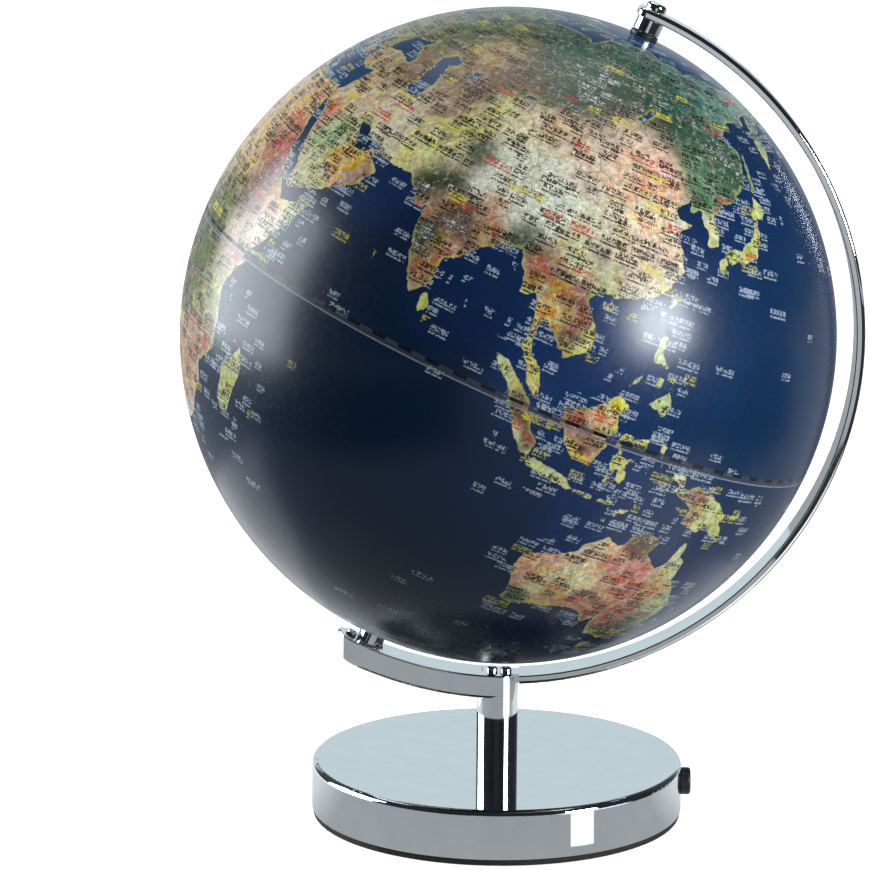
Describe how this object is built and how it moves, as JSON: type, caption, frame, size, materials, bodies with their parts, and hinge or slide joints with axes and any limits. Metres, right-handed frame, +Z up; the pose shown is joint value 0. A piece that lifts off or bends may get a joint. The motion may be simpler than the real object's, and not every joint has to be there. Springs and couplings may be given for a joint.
{
  "type": "desktop globe on stand",
  "caption": "Illuminated desktop globe that turns on a tilted axis, held by a half-circle chrome band and a hooked arm on a round chrome base.",
  "frame": {"origin": "on the table, at the centre of the round base's pad", "axes": "+Z up; +X towards the side the globe's north pole leans to; the meridian band, the arm and the post lie in the XZ plane; seen from the front one looks along +Y"},
  "size_m": [0.2607, 0.25, 0.3165],
  "materials": {
    "chrome": "mirror polished plating",
    "cast_iron": "rough cast, black primer",
    "zinc_sheet": "zinc plated sheet",
    "screw_steel": "zinc plated",
    "black_pad": "matt foam rubber",
    "black_socket": "moulded, satin",
    "brass": "turned",
    "black_lead": "soft two-core lead",
    "black_bush": "moulded nylon",
    "globe_print": "printed map under satin lacquer",
    "white_plastic": "moulded",
    "frosted": "frosted",
    "board": "white solder mask on aluminium",
    "led": "phosphor",
    "tape": "printed tape"
  },
  "bodies": {
    "stand": {"base_cover": "chrome", "base_weight": "cast_iron", "base_plate": "zinc_sheet", "base_screws": "screw_steel", "foot_pad": "black_pad", "stand_post": "chrome", "post_nipple": "screw_steel", "post_washer": "screw_steel", "post_nut": "screw_steel", "arm_cover": "chrome", "meridian_band": "chrome", "band_screws": "chrome", "arm_lock_screw": "chrome", "north_pin": "chrome", "north_collar": "chrome", "south_spindle": "screw_steel", "south_collar": "chrome", "lamp_holder": "white_plastic", "led_board": "board", "led_chips": "led", "lamp_diffuser": "frosted", "power_inlet": "black_socket", "inlet_nut": "screw_steel", "inlet_pin": "brass", "lamp_lead": "black_lead"},
    "globe": {"globe_north_shell": "globe_print", "globe_south_shell": "globe_print", "equator_ring": "white_plastic", "equator_tape": "tape", "north_bush": "black_bush", "north_bush_nut": "black_bush", "south_bush": "black_bush", "south_bush_nut": "black_bush"}
  },
  "joints": [
    {"name": "globe_spin", "type": "hinge", "parent": "stand", "child": "globe", "pos_m": [0.0028, 0, 0.1883], "axis": [0.3987, 0, 0.9171], "continuous": true}
  ]
}
